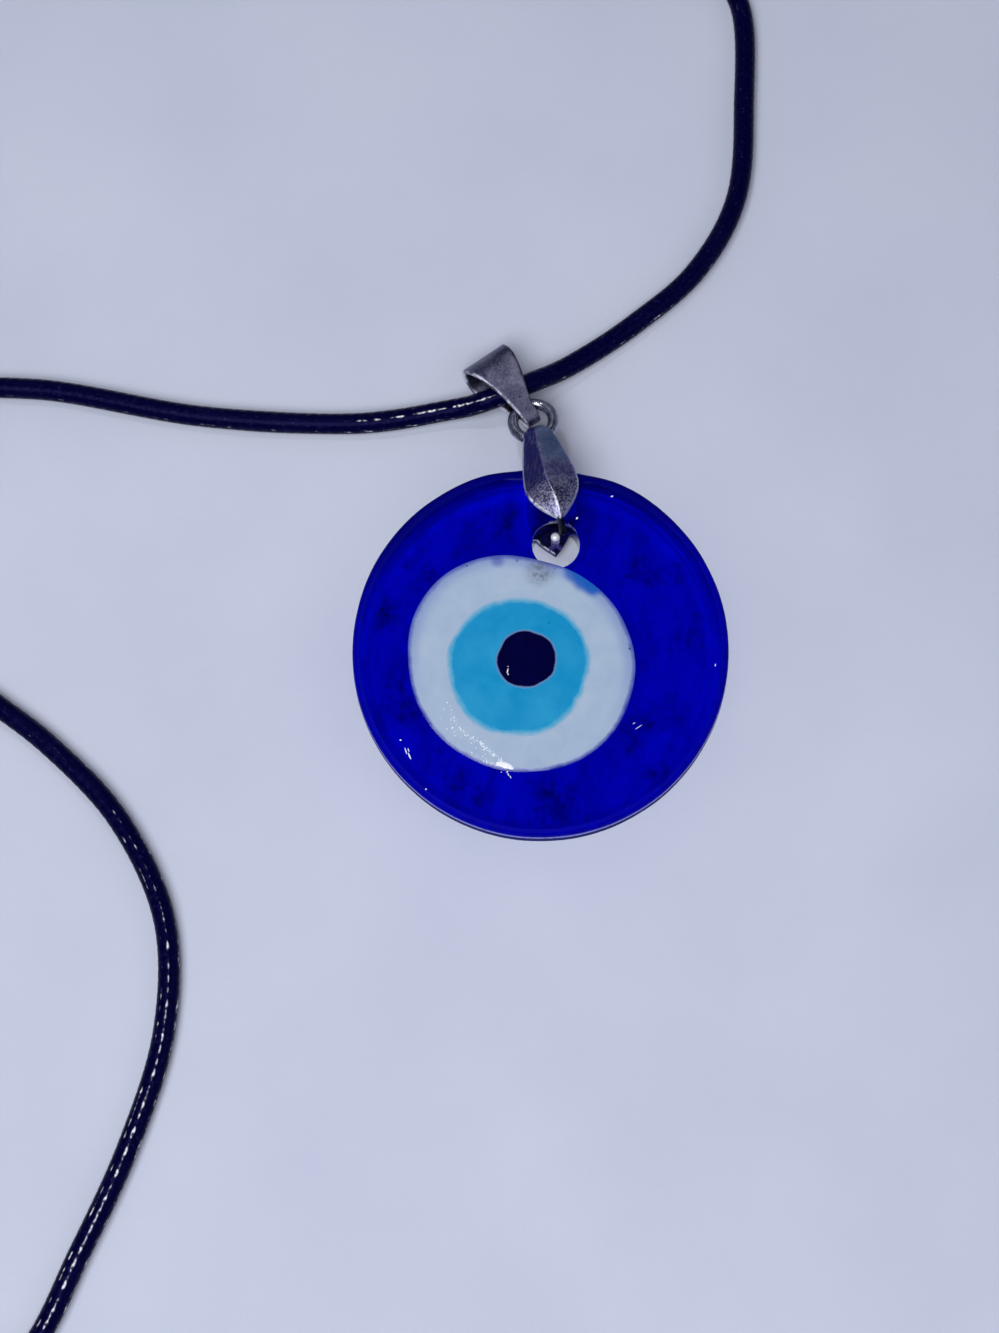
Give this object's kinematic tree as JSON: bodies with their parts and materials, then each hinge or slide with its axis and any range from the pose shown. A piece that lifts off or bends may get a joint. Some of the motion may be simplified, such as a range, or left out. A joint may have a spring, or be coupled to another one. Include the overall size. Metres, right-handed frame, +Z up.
{
  "type": "evil eye pendant",
  "caption": "Flat blue glass evil eye pendant on a round dark cord, held by a metal pinch clasp, a jump ring and a tapering bail band.",
  "frame": {"origin": "on the surface that the pendant lies on, under the middle of the glass disc", "axes": "+Z up from the surface; +Y from the disc's middle to its hole; +X to the right, seen from above with the hole away from the viewer"},
  "size_m": [0.0806, 0.1305, 0.0072],
  "materials": {
    "blue_glass": "glossy",
    "white_glass": "glossy",
    "light_blue_glass": "glossy",
    "dark_glass": "glossy",
    "clasp_metal": "satin",
    "ring_metal": "glossy",
    "band_metal": "satin",
    "waxed_cord": "satin",
    "barrel_metal": "satin"
  },
  "bodies": {
    "root": {"glass_disc": "blue_glass", "eye_white": "white_glass", "iris": "light_blue_glass", "pupil": "dark_glass", "pinch_clasp": "clasp_metal", "jump_ring": "ring_metal", "bail_band": "band_metal", "cord": "waxed_cord", "clasp": "barrel_metal"}
  },
  "joints": []
}
